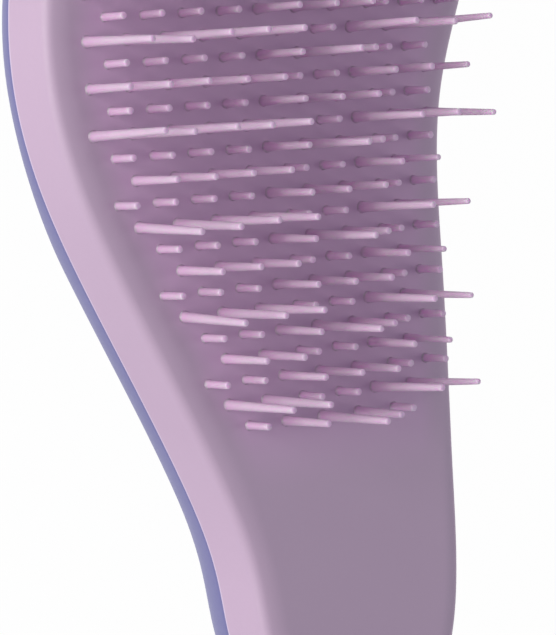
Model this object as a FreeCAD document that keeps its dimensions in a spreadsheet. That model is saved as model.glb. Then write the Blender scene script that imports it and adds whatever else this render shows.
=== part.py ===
import FreeCAD, Part
import math
import os

# Palm-held detangling brush, millimetres.
# +X is across the brush, +Y runs from the palm end to the crown, +Z is the way the teeth point.
# The origin is on the flat of the back, under the middle column of teeth.
doc = FreeCAD.newDocument("detangling_brush")

# Driving sizes, one aliased cell each
sizes = {
    # Outline of the side wall, seen from the teeth: where the closed curve passes
    "tail_low_right_x": 12.6, "tail_low_right_y": -68.0,
    "tail_right_x": 20.6, "tail_right_y": -54.5,
    "palm_right_x": 21.95, "palm_right_y": -33.0,
    "waist_right_x": 22.65, "waist_right_y": -12.0,
    "flank_right_x": 24.0, "flank_right_y": 10.0,
    "shoulder_right_x": 30.6, "shoulder_right_y": 29.5,
    "crown_right_x": 26.0, "crown_right_y": 49.0,
    "crown_tip_x": -1.0, "crown_tip_y": 58.0,
    "crown_left_x": -25.2, "crown_left_y": 48.5,
    "shoulder_left_x": -35.5, "shoulder_left_y": 27.0,
    "cheek_left_x": -34.5, "cheek_left_y": 6.0,
    "flank_left_x": -25.9, "flank_left_y": -15.0,
    "waist_left_x": -14.4, "waist_left_y": -40.0,
    "tail_left_x": -11.3, "tail_left_y": -54.5,
    "tail_low_left_x": -3.6, "tail_low_left_y": -68.0,
    # Front shell
    "front_depth": 7.4,
    "side_lean": 1.0,
    "shoulder_radius": 1.6,
    "shoulder_turn": 74.0,
    "face_crown_radius": 8.0,
    "right_lean": 1.6,
    "right_shoulder_radius": 2.4,
    "face_wall": 2.0,
    "side_wall": 2.6,
    # Back cover: its edge turns in on a quarter ellipse, cut short by a flat to lie on
    "head_run": 24.0,
    "head_run_y": 14.0,
    "palm_run": 12.0,
    "palm_run_y": -8.0,
    "tail_run": 11.5,
    "tail_run_y": -68.0,
    "back_rise": 12.0,
    "back_flat_angle": 68.0,
    "back_wall": 2.0,
    "reveal": 0.25,
    # Tongue of the back cover, inside the front shell's wall
    "tongue_height": 2.4,
    "tongue_wall": 1.2,
    "tongue_clearance": 0.1,
    # Teeth
    "tooth_pitch": 5.4,
    "row_pitch": 2.78,
    "last_row_y": -27.8,
    "last_row_reach": 11.0,
    "tooth_edge_gap": 1.87,
    "tooth_sides": 6,
    "tip_round": 0.35,
    "long_height": 13.95, "long_base_d": 1.26, "long_tip_d": 0.88,
    "medium_height": 9.25, "medium_base_d": 1.18, "medium_tip_d": 0.90,
    "short_height": 4.4, "short_base_d": 1.00, "short_tip_d": 0.92,
}
sheet = doc.addObject("Spreadsheet::Sheet", "sizes")
for line, (name, value) in enumerate(sizes.items(), start=1):
    sheet.set(f"A{line}", name)
    sheet.set(f"B{line}", str(value))
    sheet.setAlias(f"B{line}", name)
doc.recompute()

outline_stations = ("tail_low_right", "tail_right", "palm_right", "waist_right", "flank_right",
                    "shoulder_right", "crown_right", "crown_tip", "crown_left", "shoulder_left",
                    "cheek_left", "flank_left", "waist_left", "tail_left", "tail_low_left")
relaxing_rounds = 60
shoulder_bands = 4
face_crown_bands = 3
crown_bands = 5
hollow_bands = 2
parting_z = sheet.back_rise * math.sin(math.radians(sheet.back_flat_angle))
face_z = parting_z + sheet.front_depth


def turned(vector):
    """A quarter turn to the left: from the way along the outline to the way into it."""
    return FreeCAD.Vector(-vector.y, vector.x, 0)


def directions(points):
    """The way a smooth closed curve through the points runs at each of them."""
    count = len(points)
    slopes = [points[(i + 1) % count] - points[i - 1] for i in range(count)]
    for _ in range(relaxing_rounds):
        slopes = [((points[(i + 1) % count] - points[i - 1]) * 3 - slopes[i - 1] - slopes[(i + 1) % count])
                  * 0.25 for i in range(count)]
    return [FreeCAD.Vector(slope).normalize() for slope in slopes]


def arc_nodes(points):
    """The closed curve as tangent arcs, two between points: each arc's start, and its direction there."""
    along = directions(points)
    nodes = []
    for i in range(len(points)):
        start, end = points[i], points[(i + 1) % len(points)]
        leaving, arriving = along[i], along[(i + 1) % len(points)]
        chord = end - start
        pull = chord.dot(leaving + arriving)
        bend = 2 * (1 - leaving.dot(arriving))
        reach = (math.sqrt(pull * pull + bend * chord.dot(chord)) - pull) / bend
        joint = (start + end + (leaving - arriving) * reach) * 0.5
        to_joint = joint - start
        at_joint = leaving - to_joint * (2 * to_joint.dot(leaving) / to_joint.dot(to_joint))
        nodes.append((start, leaving))
        nodes.append((joint, at_joint * -1))
    return nodes


outline_points = [FreeCAD.Vector(sheet.get(f"{name}_x"), sheet.get(f"{name}_y"), 0)
                  for name in outline_stations]


def arc(start, along, end):
    """The arc that leaves start along a direction and ends at end."""
    chord = end - start
    inwards = turned(along)
    offset = chord.dot(inwards)
    if abs(offset) < 1e-6:
        return Part.LineSegment(start, end).toShape()
    radius = chord.dot(chord) / (2 * offset)
    centre = start + inwards * radius
    outwards = (start + end) * 0.5 - centre
    return Part.Arc(start, centre + outwards.normalize() * abs(radius), end).toShape()


def arc_wire(places):
    return Part.Wire([arc(*place, after[0]) for place, after in zip(places, places[1:] + places[:1])])


def inset_wire(inset, height):
    """The outline moved inwards by inset, at a height: every arc keeps its centre."""
    level = FreeCAD.Vector(0, 0, height)
    return arc_wire([(point + turned(along) * inset + level, along)
                     for point, along in arc_nodes(outline_points)])


def eased_wire(insets, height):
    """The outline with each station moved inwards by its own inset, at a height."""
    moved = [point + turned(along) * inset + FreeCAD.Vector(0, 0, height)
             for point, along, inset in zip(outline_points, directions(outline_points), insets)]
    return arc_wire(arc_nodes(moved))


def section(name, inset, height):
    wire = doc.addObject("Part::Feature", name)
    wire.Shape = eased_wire(inset, height) if isinstance(inset, list) else inset_wire(inset, height)
    return wire


def extrusion(name, profile, length):
    solid = doc.addObject("Part::Extrusion", name)
    solid.Base = profile
    solid.DirMode = "Custom"
    solid.Dir = FreeCAD.Vector(0, 0, 1)
    solid.setExpression("LengthFwd", length)
    solid.Solid = True
    return solid


def banded(name, profile):
    """A solid whose side follows a profile of insets and heights all round the outline."""
    solid = doc.addObject("Part::Loft", name)
    solid.Sections = [section(f"{name}_{number}", *place) for number, place in enumerate(profile, start=1)]
    solid.Solid = True
    solid.Ruled = True
    return solid


def cut(name, base, tool):
    result = doc.addObject("Part::Cut", name)
    result.Base = base
    result.Tool = tool
    return result


def fuse(name, shapes):
    result = doc.addObject("Part::MultiFuse", name)
    result.Shapes = shapes
    return result


# Front shell: a shallow tray, open to the back. On the left its side wall turns over on a tight shoulder and
# eases into the flat tooth face on a wide arc. On the right the wall leans in more, to one round shoulder.
shoulder_turn = math.radians(sheet.shoulder_turn)
shoulder_inset = sheet.side_lean + sheet.shoulder_radius * (1 - math.cos(shoulder_turn))
shoulder_z = face_z - sheet.face_crown_radius * (1 - math.sin(shoulder_turn))
shoulder = []
for step in range(shoulder_bands + 1):
    angle = shoulder_turn * step / shoulder_bands
    shoulder.append((sheet.side_lean + sheet.shoulder_radius * (1 - math.cos(angle)),
                     shoulder_z - sheet.shoulder_radius * (math.sin(shoulder_turn) - math.sin(angle))))
for step in range(1, face_crown_bands + 1):
    angle = shoulder_turn + (math.pi / 2 - shoulder_turn) * step / face_crown_bands
    shoulder.append((shoulder_inset + sheet.face_crown_radius * (math.cos(shoulder_turn) - math.cos(angle)),
                     face_z - sheet.face_crown_radius * (1 - math.sin(angle))))
station_sides = [{"left": 0, "tip": 0.5, "right": 1}[name.split("_")[-1]] for name in outline_stations]


def shoulder_insets(inset, height):
    """An inset for each station at a height: the left side's own, or the round shoulder's on the right."""
    radius = sheet.right_shoulder_radius
    below = min(face_z - height, radius)
    right = sheet.right_lean + radius - math.sqrt(below * (2 * radius - below))
    return [inset + (right - inset) * side for side in station_sides]


front_levels = [(0, parting_z)] + [(shoulder_insets(*level), level[1]) for level in shoulder]
front_skin = banded("front_skin", front_levels)
front_hollow = extrusion("front_hollow", section("front_hollow_outline", sheet.side_wall, parting_z),
                         "sizes.front_depth - sizes.face_wall")
front_shell = cut("front_shell", front_skin, front_hollow)


def back_run(y):
    """How far in the back's edge turns: wide under the head, tighter under the palm and the tail."""
    lower, upper = ("tail", "palm") if y < sheet.palm_run_y else ("palm", "head")
    start, end = sheet.get(f"{lower}_run_y"), sheet.get(f"{upper}_run_y")
    share = min(max((y - start) / (end - start), 0), 1)
    return sheet.get(f"{lower}_run") * (1 - share) + sheet.get(f"{upper}_run") * share


def back_profile(wall, bands):
    """The back cover's outside for no wall, and its hollow for a wall: a quarter ellipse up to the flat."""
    angles = [math.radians(sheet.back_flat_angle * step / bands) for step in range(bands + 1)]
    return [([sheet.reveal + wall + (back_run(point.y) - wall) * (1 - math.cos(angle))
              for point in outline_points],
             parting_z - (sheet.back_rise - wall) * math.sin(angle)) for angle in angles]


# Back cover: crowned shell with a tongue that locates it in the front shell
back_skin = banded("back_skin", back_profile(0, crown_bands))
back_hollow = banded("back_hollow", back_profile(sheet.back_wall, hollow_bands))
back_cup = cut("back_cup", back_skin, back_hollow)
tongue_inset = sheet.side_wall + sheet.tongue_clearance
tongue_root = sheet.back_wall
tongue_outer = extrusion("tongue_outer", section("tongue_outline", tongue_inset, parting_z - tongue_root),
                         "sizes.tongue_height + sizes.back_wall")
tongue_inner = extrusion("tongue_inner",
                         section("tongue_hollow_outline", tongue_inset + sheet.tongue_wall,
                                 parting_z - tongue_root),
                         "sizes.tongue_height + sizes.back_wall")
tongue = cut("tongue", tongue_outer, tongue_inner)
back_cover = fuse("back_cover", [back_cup, tongue])


def tooth(kind):
    """One tapered tooth with a blunt rounded tip, standing at the origin: rings of flat facets."""
    base_d, tip_d, tall = (sheet.get(f"{kind}_{size}") for size in ("base_d", "tip_d", "height"))
    sides = int(sheet.tooth_sides)
    rings = []
    for diameter, height in ((base_d, 0), (tip_d, tall - sheet.tip_round), (tip_d * 0.6, tall)):
        rings.append([FreeCAD.Vector(diameter / 2 * math.cos(2 * math.pi * side / sides),
                                     diameter / 2 * math.sin(2 * math.pi * side / sides), height)
                      for side in range(sides)])
    loops = [rings[0], rings[-1]]
    for lower, upper in zip(rings, rings[1:]):
        loops += [[lower[side - 1], lower[side], upper[side], upper[side - 1]] for side in range(sides)]
    faces = [Part.Face(Part.makePolygon(loop + loop[:1])) for loop in loops]
    return Part.makeSolid(Part.makeShell(faces))


def tooth_kind(row, column):
    """Rows alternate; the tall teeth form a spine and two fields, and the longest recur every fourth row."""
    if row % 2 == 0:
        if abs(column) >= 2:
            return "short"
        return "long" if column == 0 and row % 4 == 2 else "medium"
    if abs(column) < 1:
        return "short"
    return "long" if row % 4 == 1 else "medium"


# Teeth stand on a staggered square lattice, wherever the face inside the shoulder leaves room for a base
standing = {"long": [], "medium": [], "short": []}
wall_wire = inset_wire(0, 0)
wall_face = Part.Face(wall_wire)
bounds = wall_wire.BoundBox
row_count = int((bounds.YMax - sheet.last_row_y) / sheet.row_pitch) + 1
half_columns = int(max(bounds.XMax, -bounds.XMin) / sheet.tooth_pitch) + 1
for index in range(row_count):
    row = 18 - index
    y = sheet.last_row_y + index * sheet.row_pitch
    shift = 0.0 if row % 2 == 0 else 0.5
    for step in range(-half_columns, half_columns + 1):
        column = step + shift
        place = FreeCAD.Vector(column * sheet.tooth_pitch, y, 0)
        if not wall_face.isInside(place, 1e-6, True):
            continue
        if index == 0 and abs(place.x) > sheet.last_row_reach:
            continue
        kind = tooth_kind(row, column)
        room = shoulder_inset + sheet.tooth_edge_gap + sheet.get(f"{kind}_base_d") / 2
        if wall_wire.distToShape(Part.Vertex(place))[0] >= room:
            standing[kind].append(place)

groups = []
for kind, places in standing.items():
    master = tooth(kind)
    copies = []
    for place in places:
        copy = master.copy()
        copy.translate(place + FreeCAD.Vector(0, 0, face_z))
        copies.append(copy)
    group = doc.addObject("Part::Feature", f"{kind}_teeth")
    group.Shape = Part.makeCompound(copies)
    groups.append(group)
doc.recompute()

sub_parts = [front_shell, back_cover] + groups
for item in doc.Objects:
    if "Invalid" in item.State or "Error" in item.State:
        raise RuntimeError(f"{item.Label} did not build: {item.State}")
for item in sub_parts:
    if item.Shape.isNull() or not item.Shape.isValid():
        raise RuntimeError(f"{item.Label} has no valid shape")

os.makedirs("parts", exist_ok=True)
for item in sub_parts:
    item.Shape.exportStep(f"parts/{item.Label}.step")
    box = item.Shape.BoundBox
    print(f"{item.Label}: {len(item.Shape.Solids)} solids, {item.Shape.Volume:.1f} mm3, "
          f"x {box.XMin:.2f}..{box.XMax:.2f} y {box.YMin:.2f}..{box.YMax:.2f} "
          f"z {box.ZMin:.2f}..{box.ZMax:.2f}")
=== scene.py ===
import math
import random

import bmesh
import bpy
from mathutils import Matrix, Vector


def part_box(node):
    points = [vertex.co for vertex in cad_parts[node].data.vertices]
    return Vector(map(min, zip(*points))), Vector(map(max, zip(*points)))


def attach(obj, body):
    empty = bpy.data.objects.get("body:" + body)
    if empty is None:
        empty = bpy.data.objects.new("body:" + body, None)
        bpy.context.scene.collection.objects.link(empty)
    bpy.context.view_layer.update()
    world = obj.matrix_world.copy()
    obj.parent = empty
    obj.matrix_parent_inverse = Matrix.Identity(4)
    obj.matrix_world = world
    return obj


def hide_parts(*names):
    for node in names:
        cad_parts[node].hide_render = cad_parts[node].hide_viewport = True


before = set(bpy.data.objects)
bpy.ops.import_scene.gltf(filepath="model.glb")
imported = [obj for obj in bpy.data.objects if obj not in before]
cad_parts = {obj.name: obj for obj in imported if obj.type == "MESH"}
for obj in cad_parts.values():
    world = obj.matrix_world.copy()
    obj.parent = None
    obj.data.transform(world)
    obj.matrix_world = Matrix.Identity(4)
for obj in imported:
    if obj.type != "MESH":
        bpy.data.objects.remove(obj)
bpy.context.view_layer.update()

mm = 0.001


class Sock:  # one output socket, so that shader maths reads as Python
    def __init__(self, mat, socket):
        self.mat = mat
        self.socket = socket

    def maths(self, operation, first, second):
        return self.mat.node("ShaderNodeMath", {"operation": operation}, {0: first, 1: second})

    def __add__(self, other):
        return self.maths("ADD", self, other)

    def __radd__(self, other):
        return self.maths("ADD", other, self)

    def __sub__(self, other):
        return self.maths("SUBTRACT", self, other)

    def __rsub__(self, other):
        return self.maths("SUBTRACT", other, self)

    def __mul__(self, other):
        return self.maths("MULTIPLY", self, other)

    def __rmul__(self, other):
        return self.maths("MULTIPLY", other, self)


class Finish:  # a material or the world, and the one way to add a node to it
    def __init__(self, owner):
        owner.use_nodes = True
        self.tree = owner.node_tree
        self.tree.nodes.clear()

    def node(self, kind, settings=None, sockets=None, out=0):
        made = self.tree.nodes.new(kind)
        for name, value in (settings or {}).items():
            setattr(made, name, value)
        for name, value in (sockets or {}).items():
            if isinstance(value, Sock):
                self.tree.links.new(value.socket, made.inputs[name])
            else:
                made.inputs[name].default_value = value
        return Sock(self, made.outputs[out]) if len(made.outputs) else None

    def mixColour(self, amount, first, second):
        return self.node("ShaderNodeMix", {"data_type": "RGBA", "clamp_factor": True},
                         {0: amount, 6: first, 7: second}, out=2)

    def fade(self, value, start, end, atStart, atEnd):
        return self.node("ShaderNodeMapRange", {"clamp": True},
                         {0: value, 1: start, 2: end, 3: atStart, 4: atEnd})

    def whiteRays(self):  # 1 for what the camera sees, also in a gloss or through something clear
        seen = self.node("ShaderNodeLightPath", out=0)
        mirrored = self.node("ShaderNodeLightPath", out=3)
        through = self.node("ShaderNodeLightPath", out=6)
        return seen + mirrored + through


def srgb(red, green, blue):  # 0 to 255 as picked from a picture
    def linear(value):
        value /= 255
        return value / 12.92 if value <= 0.04045 else ((value + 0.055) / 1.055) ** 2.4
    return (linear(red), linear(green), linear(blue), 1.0)


def smoothPiece(name, mesh):  # the finished bmesh as an object of the scene
    for face in mesh.faces:
        face.smooth = True
    data = bpy.data.meshes.new(name)
    mesh.to_mesh(data)
    mesh.free()
    piece = bpy.data.objects.new(name, data)
    bpy.context.scene.collection.objects.link(piece)
    return piece


def eased(t):  # 0 to 1 with a slow start and a slow end
    return t * t * (3 - 2 * t)


# Outline of both mouldings at the parting line, seen from the teeth, in millimetres
outline = {
    "stations": [(12.6, -68.0), (20.6, -54.5), (21.95, -33.0), (22.65, -12.0), (24.0, 10.0),
                 (30.6, 29.5), (26.0, 49.0), (-1.0, 58.0), (-25.2, 48.5), (-35.5, 27.0),
                 (-34.5, 6.0), (-25.9, -15.0), (-14.4, -40.0), (-11.3, -54.5), (-3.6, -68.0)],
    "sides": [0.7, 0.5, 0.7, 1, 1, 1, 1, 0.5] + [0] * 7,  # 1 where a station has the right side's shoulder
    "relaxRounds": 60,  # rounds that settle the slopes at the stations
    "perSpan": 20,  # mesh columns between stations
    "shy": 0.12,  # kept this far inside the CAD wall
}


def outlineColumns(stations, sides, perSpan):  # points round the outline, the direction into it, and the side
    points = [Vector((x, y, 0)) for x, y in stations]
    count = len(points)
    slopes = [points[(i + 1) % count] - points[i - 1] for i in range(count)]
    for relax in range(outline["relaxRounds"]):
        slopes = [((points[(i + 1) % count] - points[i - 1]) * 3
                   - slopes[i - 1] - slopes[(i + 1) % count]) * 0.25 for i in range(count)]
    columns = []
    for i in range(count):
        j = (i + 1) % count
        for step in range(perSpan):
            t = step / perSpan
            place = (points[i] * (2 * t**3 - 3 * t**2 + 1) + slopes[i] * (t**3 - 2 * t**2 + t)
                     + points[j] * (3 * t**2 - 2 * t**3) + slopes[j] * (t**3 - t**2))
            along = (points[i] * (6 * t**2 - 6 * t) + slopes[i] * (3 * t**2 - 4 * t + 1)
                     + points[j] * (6 * t - 6 * t**2) + slopes[j] * (3 * t**2 - 2 * t)).normalized()
            side = sides[i] + (sides[j] - sides[i]) * eased(t)
            columns.append((place, Vector((-along.y, along.x, 0)), side))
    return columns


columns = outlineColumns(outline["stations"], outline["sides"], outline["perSpan"])
print("outline columns", len(columns))


def moulding(name, profile, runAt=None, rightInset=None):  # skin of (inset, share of run, height)
    mesh = bmesh.new()
    bounceMask = mesh.verts.layers.float.new("paintedBounceField")
    rings = []
    for inset, share, height in profile:
        ring = []
        for place, inwards, side in columns:
            reach = inset + outline["shy"]
            if runAt:
                reach += share * runAt(place.y)
            if rightInset:
                reach += (rightInset(inset, height) - inset) * side
            ring.append(mesh.verts.new((place + inwards * reach + Vector((0, 0, height))) * mm))
        rings.append(ring)
    for lower, upper in zip(rings, rings[1:]):
        for i in range(len(columns)):
            mesh.faces.new((lower[i - 1], lower[i], upper[i], upper[i - 1]))
    for vert in rings[-1]:  # mask of the painted bounce light among the teeth: 1 over the last flat, fading out towards the ring before it
        vert[bounceMask] = 1.0
    mesh.faces.new(rings[-1])  # flat at both ends
    mesh.faces.new(reversed(rings[0]))
    bmesh.ops.recalc_face_normals(mesh, faces=mesh.faces)
    return smoothPiece(name, mesh)


def arcProfile(radius, start, end, steps, centreInset, centreHeight):  # angles from straight out, upwards
    angles = [math.radians(start + (end - start) * step / steps) for step in range(steps + 1)]
    return [(centreInset - radius * math.cos(angle), 0, centreHeight + radius * math.sin(angle))
            for angle in angles]


lowFront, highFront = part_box("front_shell")
partingZ = lowFront[2] / mm
faceZ = highFront[2] / mm
seam = {"gap": 0.02, "rimInset": 2.4}  # each moulding stops just short of the parting line, on a rim this wide

# Front moulding: tray whose wall turns over on a tight shoulder and eases into the flat tooth face;
# on the right the wall leans in more, to one round shoulder
front = {
    "sideLean": 1.0, "leanAngle": 10,  # the side wall leans in by this much up to the shoulder
    "shoulderRadius": 1.6, "shoulderTurn": 74, "shoulderSteps": 12,
    "crownRadius": 8.0, "crownSteps": 8,
    "rightLean": 1.6, "rightRadius": 2.4, "rightStart": 1.0,  # from this far above the parting line
    "lipRadius": 0.32, "lipStart": -88, "lipSteps": 6, "lipInset": 0.8,
    "faceMargin": 0.25, "fieldMargin": 2.75,  # where the face is flat, and where the teeth's field of painted bounce light is full
}
underside = partingZ + seam["gap"]
shoulderTurn = math.radians(front["shoulderTurn"])
shoulderZ = faceZ - front["crownRadius"] * (1 - math.sin(shoulderTurn))
shoulderInset = front["sideLean"] + front["shoulderRadius"] * (1 - math.cos(shoulderTurn))
flatInset = shoulderInset + front["crownRadius"] * math.cos(shoulderTurn)
rim = [(seam["rimInset"], 0, underside), (front["lipInset"], 0, underside)]
lip = arcProfile(front["lipRadius"], front["lipStart"], front["leanAngle"], front["lipSteps"],
                 front["lipRadius"], underside + front["lipRadius"])
shoulder = arcProfile(front["shoulderRadius"], front["leanAngle"], front["shoulderTurn"],
                      front["shoulderSteps"], front["sideLean"] + front["shoulderRadius"],
                      shoulderZ - front["shoulderRadius"] * math.sin(shoulderTurn))
faceCrown = arcProfile(front["crownRadius"], front["shoulderTurn"], 90, front["crownSteps"],
                       flatInset, faceZ - front["crownRadius"])
face = [(flatInset + front["faceMargin"], 0, faceZ), (flatInset + front["fieldMargin"], 0, faceZ)]


def rightShoulder(inset, height):  # the inset that the right side has where the left has this one
    if height < partingZ + front["rightStart"] or inset > flatInset:
        return inset
    above = max(height - (faceZ - front["rightRadius"]), 0)
    return front["rightLean"] + front["rightRadius"] - math.sqrt(front["rightRadius"]**2 - above**2)


frontMoulding = moulding("frontMoulding", rim + lip + shoulder + faceCrown[1:] + face, rightInset=rightShoulder)
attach(frontMoulding, "root")
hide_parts("front_shell")
print("front moulding", len(frontMoulding.data.polygons), "faces")

# Back cover: crown that turns in from the parting line, tighter under the palm than under the head
back = {
    "headRun": 24.0, "headRunY": 14.0,
    "palmRun": 12.0, "palmRunY": -8.0,
    "tailRun": 11.5, "tailRunY": -68.0,
    "rise": 12.0,
    "startAngle": 4, "flatAngle": 68, "steps": 22,
    "reveal": 0.25,  # the edge sits this far inside the front's lip
    "edge": [(0.3, 0.02), (0.09, 0.09), (0.01, 0.3)],  # rounded: in from the reveal, below the parting line
    "flatEdge": [(0.1, 0.06), (0.7, 0.0), (1.0, 0.0)],  # soft edge of the flat: further in, above the table
}


def backRun(y):  # eased from the tail to the palm and from the palm to the head
    lower, upper = ("tail", "palm") if y < back["palmRunY"] else ("palm", "head")
    start, end = back[lower + "RunY"], back[upper + "RunY"]
    t = min(max((y - start) / (end - start), 0), 1)
    return back[lower + "Run"] + (back[upper + "Run"] - back[lower + "Run"]) * eased(t)


crown = []
for step in range(back["steps"] + 1):
    angle = math.radians(back["startAngle"] + (back["flatAngle"] - back["startAngle"]) * step / back["steps"])
    crown.append((back["reveal"], 1 - math.cos(angle), partingZ - back["rise"] * math.sin(angle)))
flatShare = crown[-1][1]
backProfile = [(seam["rimInset"], 0, partingZ - seam["gap"])]
backProfile += [(back["reveal"] + more, 0, partingZ - below) for more, below in back["edge"]]
backProfile += crown[:-1]
backProfile += [(back["reveal"] + more, flatShare, height) for more, height in back["flatEdge"]]
backCover = moulding("backCoverMoulding", backProfile, backRun)
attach(backCover, "root")
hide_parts("back_cover")
print("back cover", len(backCover.data.polygons), "faces")

# Teeth: round, tapered, with a flared root and a rounded tip
teeth = {
    "longTeeth": {"node": "long_teeth", "baseRadius": 0.65, "tipRadius": 0.43},
    "mediumTeeth": {"node": "medium_teeth", "baseRadius": 0.60, "tipRadius": 0.44},
    "shortTeeth": {"node": "short_teeth", "baseRadius": 0.50, "tipRadius": 0.45},
}
toothForm = {
    "sides": 14,
    "rootFlare": 0.18, "rootHeight": 0.36, "rootSteps": 4, "rootEase": 2.4, "sunk": 0.05,
    "shaftShares": (0.3, 0.55, 0.8),
    "tipRound": 0.22, "tipAngles": (0, 25, 50, 75), "tipRise": 0.02,
    "tipLightAtTip": 1.0, "tipLightBelowTip": 0.35,  # how much of the painted tip light the tip and its edge take
    "rake": -0.006,  # all teeth lie back a little towards the palm
    "sway": 0.008,  # and no two stand quite alike
    "bent": {  # tip shift of the teeth that use has bent
        (-29.7, 19.5): (0.6, -0.3), (-24.3, 19.5): (0.5, -0.6), (-18.9, 19.5): (0.5, 0.0),
        (-13.5, 19.5): (0.3, 0.0), (13.5, 19.5): (0.5, -0.3), (18.9, 19.5): (0.5, 0.1),
        (-29.7, 8.3): (1.4, 0.3), (-18.9, 8.3): (0.4, 0.1), (18.9, 8.3): (0.0, -0.5),
        (-24.3, -2.8): (0.0, -0.4), (-18.9, -2.8): (0.0, -0.4),
        (8.1, -2.8): (0.7, 0.25), (13.5, -2.8): (0.7, 0.25),
        (-18.9, -13.9): (-0.4, -0.5), (8.1, -25.0): (0.3, 0.3), (13.5, -25.0): (0.4, 0.5),
    },
    "edgeSlim": 0.84,  # the last tall tooth of a row on the right is finer
    "sameFoot": 1.5, "footSlack": 0.01,  # corners this close make one foot, at this much of one level
    "nearFoot": 1.0,  # a bent tooth's foot is this near to where the list says
    "seed": 7,
}
chance = random.Random(toothForm["seed"])


def toothFeet(node):  # where each tooth of a CAD group stands
    mesh = bmesh.new()
    mesh.from_mesh(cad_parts[node].data)
    low = min(vert.co.z for vert in mesh.verts)
    feet = []
    for vert in mesh.verts:
        if vert.co.z > low + toothForm["footSlack"] * mm:
            continue
        near = [foot for foot in feet if (foot[0] / foot[1] - vert.co).length < toothForm["sameFoot"] * mm]
        if near:
            near[0][0] += vert.co
            near[0][1] += 1
        else:
            feet.append([vert.co.copy(), 1])
    mesh.free()
    return [total / number for total, number in feet]


def toothProfile(baseRadius, tipRadius, height):  # radius at each level, from the root up
    profile = []
    for step in range(toothForm["rootSteps"] + 1):  # root fillet
        t = step / toothForm["rootSteps"]
        profile.append((baseRadius + toothForm["rootFlare"] * (1 - t) ** toothForm["rootEase"],
                        toothForm["rootHeight"] * t - toothForm["sunk"] * (1 - t)))
    for share in toothForm["shaftShares"]:  # tapered shaft
        profile.append((baseRadius + (tipRadius - baseRadius) * share, height * share))
    for angle in toothForm["tipAngles"]:  # rounded tip
        turn = math.radians(angle)
        profile.append((tipRadius - toothForm["tipRound"] * (1 - math.cos(turn)),
                        height - toothForm["tipRise"] - toothForm["tipRound"] * (1 - math.sin(turn))))
    return profile


def toothLean(foot):  # how far a tooth goes aside for each unit it rises, and for its tip
    across = chance.uniform(-1, 1) * toothForm["sway"]
    aside = Vector((across, chance.uniform(-1, 1) * toothForm["sway"] + toothForm["rake"], 0))
    for (x, y), (acrossTip, alongTip) in toothForm["bent"].items():
        if abs(foot.x / mm - x) < toothForm["nearFoot"] and abs(foot.y / mm - y) < toothForm["nearFoot"]:
            return aside, Vector((acrossTip, alongTip, 0)) * mm
    return aside, Vector((0, 0, 0))


def addTooth(mesh, tipLightShare, profile, foot, low, height, slim):  # one tooth, from a foot in metres
    aside, tipShift = toothLean(foot)
    sides = toothForm["sides"]
    rounds = [Vector((math.cos(turn), math.sin(turn), 0))
              for turn in (2 * math.pi * side / sides for side in range(sides))]
    rings = []
    for radius, level in profile:
        middle = Vector((foot.x, foot.y, low + level * mm))
        middle += aside * (max(level, 0) * mm) + tipShift * (level / height)
        rings.append([mesh.verts.new(middle + outwards * (radius * slim * mm)) for outwards in rounds])
    tip = mesh.verts.new(Vector((foot.x, foot.y, low + height * mm)) + aside * (height * mm) + tipShift)
    # painted light at the tip: the tip and its top rings take the pale tip colour, the ring below less
    for vert in [tip] + rings[-1] + rings[-2] + rings[-3]:
        vert[tipLightShare] = toothForm["tipLightAtTip"]
    for vert in rings[-4]:
        vert[tipLightShare] = toothForm["tipLightBelowTip"]
    for lower, upper in zip(rings, rings[1:]):
        for side in range(sides):
            mesh.faces.new((lower[side - 1], lower[side], upper[side], upper[side - 1]))
    for side in range(sides):
        mesh.faces.new((rings[-1][side - 1], rings[-1][side], tip))
    mesh.faces.new(reversed(rings[0]))


lastInRow = {}
for form in teeth.values():
    form["feet"] = sorted(toothFeet(form["node"]), key=lambda point: (round(point.y, 5), round(point.x, 5)))
    for foot in form["feet"]:
        row = round(foot.y, 4)
        lastInRow[row] = max(foot.x, lastInRow.get(row, foot.x))
for name, form in teeth.items():
    low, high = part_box(form["node"])
    height = (high[2] - low[2]) / mm
    profile = toothProfile(form["baseRadius"], form["tipRadius"], height)
    mesh = bmesh.new()
    tipLightShare = mesh.verts.layers.float.new("paintedTipLight")
    for foot in form["feet"]:
        atEdge = name != "shortTeeth" and foot.x > lastInRow[round(foot.y, 4)] - mm
        addTooth(mesh, tipLightShare, profile, foot, low[2], height, toothForm["edgeSlim"] if atEdge else 1)
    piece = smoothPiece(name, mesh)
    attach(piece, "root")
    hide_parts(form["node"])
    form["piece"] = piece
    print(name, len(piece.data.polygons), "faces")

# Satin moulded plastics: the lilac shell, its teeth, which light shines into, and the periwinkle back
lilac = {
    "colour": srgb(206, 180, 204), "shade": srgb(199, 171, 197),
    # the lip colour is a painted highlight along the parting line
    "lip": srgb(232, 216, 240), "lipHighlightFull": 0.30, "lipHighlightEnd": 0.55, "lipHighlightShare": 0.75,  # millimetres above the seam
    # the colour among the teeth is painted bounce light from the pink teeth
    "paintedBounceAmongTeeth": srgb(213, 179, 211), "fieldStartY": -36, "fieldFullY": -29,
    "roughness": 0.50, "grain": 0.06, "glow": 0.0,
}
tooth = {
    "colour": srgb(219, 195, 215), "shade": srgb(212, 186, 207),
    # the root colour is painted shade at the foot of each tooth
    "root": srgb(213, 177, 208), "rootShadeReach": 4.5,
    # the tip colour is painted light on the tip of each tooth
    "tip": srgb(241, 212, 237), "tipLightShare": 0.6,
    "roughness": 0.42, "grain": 0.03, "glow": 0.85,
}
periwinkle = {
    "colour": srgb(121, 119, 170), "shade": srgb(113, 111, 161),
    "roughness": 0.42, "grain": 0.06, "glow": 0.0,
}
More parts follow.
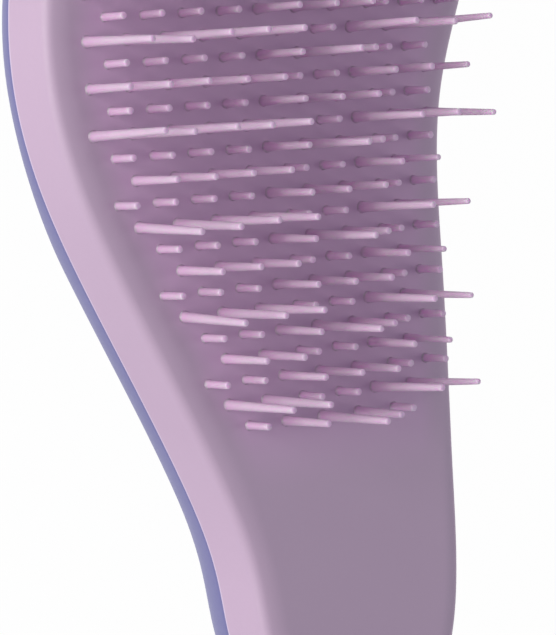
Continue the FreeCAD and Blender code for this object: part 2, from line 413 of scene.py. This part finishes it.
satin = {
    "cloudScale": 60.0, "cloudDetail": 3.0, "cloudShade": 0.5, "cloudRough": 0.06,
    "grainScale": 2600.0, "grainDetail": 2.0, "grainShade": 0.3, "grainRough": 0.10, "grainDepth": 0.00005,
    "ior": 1.46, "glowRadius": (1.0, 0.5, 0.9), "glowScale": 0.0010,
}


def satinPlastic(name, look):
    material = bpy.data.materials.new(name)
    mat = Finish(material)
    place = mat.node("ShaderNodeTexCoord", out=3)
    height = mat.node("ShaderNodeSeparateXYZ", {}, {0: place}, out=2)
    clouds = mat.node("ShaderNodeTexNoise", {},
                      {"Vector": place, "Scale": satin["cloudScale"], "Detail": satin["cloudDetail"]})
    grain = mat.node("ShaderNodeTexNoise", {},
                     {"Vector": place, "Scale": satin["grainScale"], "Detail": satin["grainDetail"]})
    shade = clouds * satin["cloudShade"] + grain * satin["grainShade"]
    colour = mat.mixColour(shade, look["colour"], look["shade"])
    if "lip" in look:  # painted highlight: a pale line along the parting line, for the lip's edge catching the light and the blue back's reflection
        lipHighlightMask = mat.fade(height, (partingZ + look["lipHighlightFull"]) * mm, (partingZ + look["lipHighlightEnd"]) * mm,
                           look["lipHighlightShare"], 0.0)
        colour = mat.mixColour(lipHighlightMask, colour, look["lip"])
    if "paintedBounceAmongTeeth" in look:  # painted bounce light: pinker where the teeth stand, for the light the pink teeth throw onto the face
        along = mat.node("ShaderNodeSeparateXYZ", {}, {0: place}, out=1)
        headSide = mat.fade(along, look["fieldStartY"] * mm, look["fieldFullY"] * mm, 0.0, 1.0)
        bounceMask = mat.node("ShaderNodeAttribute", {"attribute_name": "paintedBounceField"}, out=2)
        colour = mat.mixColour(bounceMask * headSide, colour, look["paintedBounceAmongTeeth"])
    if "root" in look:  # painted shade, deeper at the root, and painted light, paler at the tip
        rootShadeMask = mat.fade(height, faceZ * mm, (faceZ + look["rootShadeReach"]) * mm, 1.0, 0.0)
        colour = mat.mixColour(rootShadeMask, colour, look["root"])
        tipLightMask = mat.node("ShaderNodeAttribute", {"attribute_name": "paintedTipLight"}, out=2)
        colour = mat.mixColour(tipLightMask * look["tipLightShare"], colour, look["tip"])
    bump = mat.node("ShaderNodeBump", {},
                    {"Strength": look["grain"], "Distance": satin["grainDepth"], "Height": grain})
    rough = look["roughness"] + (grain - 0.5) * satin["grainRough"] + (clouds - 0.5) * satin["cloudRough"]
    shader = mat.node("ShaderNodeBsdfPrincipled", {}, {
        "Base Color": colour, "Roughness": rough, "Normal": bump, "IOR": satin["ior"],
        "Subsurface Weight": look["glow"], "Subsurface Radius": satin["glowRadius"],
        "Subsurface Scale": satin["glowScale"]})
    mat.node("ShaderNodeOutputMaterial", {}, {"Surface": shader})
    return material


frontMoulding.data.materials.append(satinPlastic("lilacShellPlastic", lilac))
toothPlastic = satinPlastic("lilacToothPlastic", tooth)
for form in teeth.values():
    form["piece"].data.materials.append(toothPlastic)
backCover.data.materials.append(satinPlastic("periwinkleBackPlastic", periwinkle))
print("materials done")

# Pale floor that the brush lies on; it shows white with a soft shadow
floor = {
    "size": 4.0,
    "colour": srgb(246, 246, 248), "dusty": srgb(240, 240, 243),
    "dustShare": 0.3, "dustScale": 30.0, "dustDetail": 2.0,
    "white": 0.985,
}
floorMesh = bpy.data.meshes.new("floor")
half = floor["size"] / 2
floorCorners = [(-half, -half, 0), (half, -half, 0), (half, half, 0), (-half, half, 0)]
floorMesh.from_pydata(floorCorners, [], [(0, 1, 2, 3)])
floorPlane = bpy.data.objects.new("floor", floorMesh)
bpy.context.scene.collection.objects.link(floorPlane)
floorMaterial = bpy.data.materials.new("paleFloor")
paper = Finish(floorMaterial)
dust = paper.node("ShaderNodeTexNoise", {}, {"Scale": floor["dustScale"], "Detail": floor["dustDetail"]})
tone = paper.mixColour(dust * floor["dustShare"], floor["colour"], floor["dusty"])
matte = paper.node("ShaderNodeBsdfDiffuse", {}, {"Color": tone})
glow = paper.node("ShaderNodeEmission", {}, {"Color": (1, 1, 1, 1), "Strength": 1.0})
sheet = paper.node("ShaderNodeMixShader", {}, {0: paper.whiteRays() * floor["white"], 1: matte, 2: glow})
paper.node("ShaderNodeOutputMaterial", {}, {"Surface": sheet})
floorPlane.data.materials.append(floorMaterial)

# Soft studio light: a broad low lamp from the left, a weak one from the right, pale room light
lamps = {
    "keyLamp": {"place": (-0.97, 0.09, 0.205), "wide": 0.9, "tall": 0.5,
                "power": 8.8, "colour": (1.0, 1.0, 0.96)},
    "fillLamp": {"place": (0.7, -0.1, 0.55), "wide": 0.5, "tall": 0.5,
                 "power": 1.0, "colour": (1.0, 1.0, 1.0)},
}
lampAim = Vector((0, 0, 0.015))
room = {"light": 0.285, "colour": (0.83, 0.85, 1.0, 1.0)}
for name, lamp in lamps.items():
    data = bpy.data.lights.new(name, "AREA")
    data.energy = lamp["power"]
    data.color = lamp["colour"]
    data.shape = "RECTANGLE"
    data.size = lamp["wide"]
    data.size_y = lamp["tall"]
    light = bpy.data.objects.new(name, data)
    light.location = lamp["place"]
    light.rotation_euler = (lampAim - light.location).to_track_quat("-Z", "Y").to_euler()
    bpy.context.scene.collection.objects.link(light)
world = bpy.data.worlds.new("studio")
bpy.context.scene.world = world
air = Finish(world)
dim = air.node("ShaderNodeBackground", {}, {"Color": room["colour"], "Strength": room["light"]})
white = air.node("ShaderNodeBackground", {}, {"Color": (1, 1, 1, 1), "Strength": 1.0})
sky = air.node("ShaderNodeMixShader", {}, {0: air.whiteRays(), 1: dim, 2: white})
air.node("ShaderNodeOutputWorld", {}, {"Surface": sky})
print("floor and lights done")

# Camera at the photograph's angle, from the left and above, with the crown upwards in the frame
view = {
    "place": (-0.24712, 0.01150, 0.37938), "aim": (-0.00554, -0.01519, 0.01853),
    "upwards": (0.0924, 0.9957, -0.0118),
    "focal": 3583.1, "imageHeight": 635,  # pixels
    "sensor": 36.0, "nearest": 0.01,  # millimetres, metres
}
cameraData = bpy.data.cameras.new("camera")
cameraData.sensor_width = view["sensor"]
cameraData.lens = view["focal"] / view["imageHeight"] * cameraData.sensor_width
cameraData.clip_start = view["nearest"]
camera = bpy.data.objects.new("camera", cameraData)
backwards = (Vector(view["place"]) - Vector(view["aim"])).normalized()
right = Vector(view["upwards"]).cross(backwards).normalized()
up = backwards.cross(right)
turn = Matrix((right, up, backwards)).transposed()
camera.matrix_world = Matrix.Translation(view["place"]) @ turn.to_4x4()
bpy.context.scene.collection.objects.link(camera)
bpy.context.scene.camera = camera
bpy.context.scene.view_settings.view_transform = "Standard"
print("camera done, lens", round(cameraData.lens, 1))
